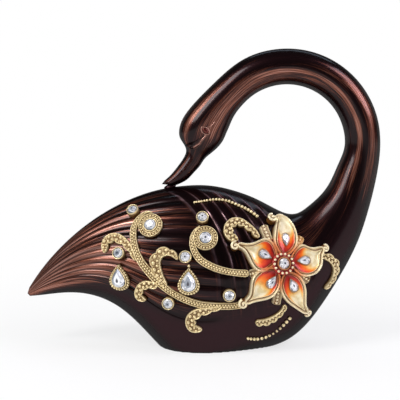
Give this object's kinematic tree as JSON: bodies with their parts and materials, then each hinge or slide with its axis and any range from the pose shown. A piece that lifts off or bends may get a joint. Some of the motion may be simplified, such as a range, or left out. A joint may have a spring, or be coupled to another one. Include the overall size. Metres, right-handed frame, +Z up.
{
  "type": "swan figurine",
  "caption": "Lacquered swan figurine with a looped neck and bill on its back, fluted wings, gilded scrollwork, a relief flower and clear stones on its left side.",
  "frame": {"origin": "middle of the flat under the body, on the swan's plane of symmetry", "axes": "+X towards the breast, the tail at -X, the decorated left side facing -Y, +Z up"},
  "size_m": [0.301, 0.1122, 0.2511],
  "materials": {
    "lacquer": "metallic brown lacquer with copper streaks under a clear gloss",
    "gilt": "antique gold paint, rubbed",
    "petal_enamel": "gold shading to orange and red enamel",
    "crystal": "faceted clear stone with a foiled back"
  },
  "bodies": {
    "root": {"swan_body": "lacquer", "flower": "petal_enamel", "long_scroll": "gilt", "upper_scroll": "gilt", "upper_leaf": "gilt", "right_leaf": "gilt", "lower_leaf": "gilt", "upper_bead_row": "gilt", "lower_bead_row": "gilt", "chaton_setting_1": "gilt", "chaton_setting_2": "gilt", "chaton_setting_3": "gilt", "chaton_setting_4": "gilt", "chaton_setting_5": "gilt", "chaton_setting_6": "gilt", "drop_setting_left": "gilt", "drop_setting_right": "gilt", "long_scroll_stone": "crystal", "upper_scroll_stone": "crystal", "flower_centre_stone": "crystal", "drop_stone_left": "crystal", "drop_stone_right": "crystal", "chaton_1": "crystal", "chaton_2": "crystal", "chaton_3": "crystal", "chaton_4": "crystal", "chaton_5": "crystal", "chaton_6": "crystal", "petal_stone_1": "crystal", "petal_stone_2": "crystal", "petal_stone_3": "crystal", "petal_stone_4": "crystal", "petal_stone_5": "crystal"}
  },
  "joints": []
}
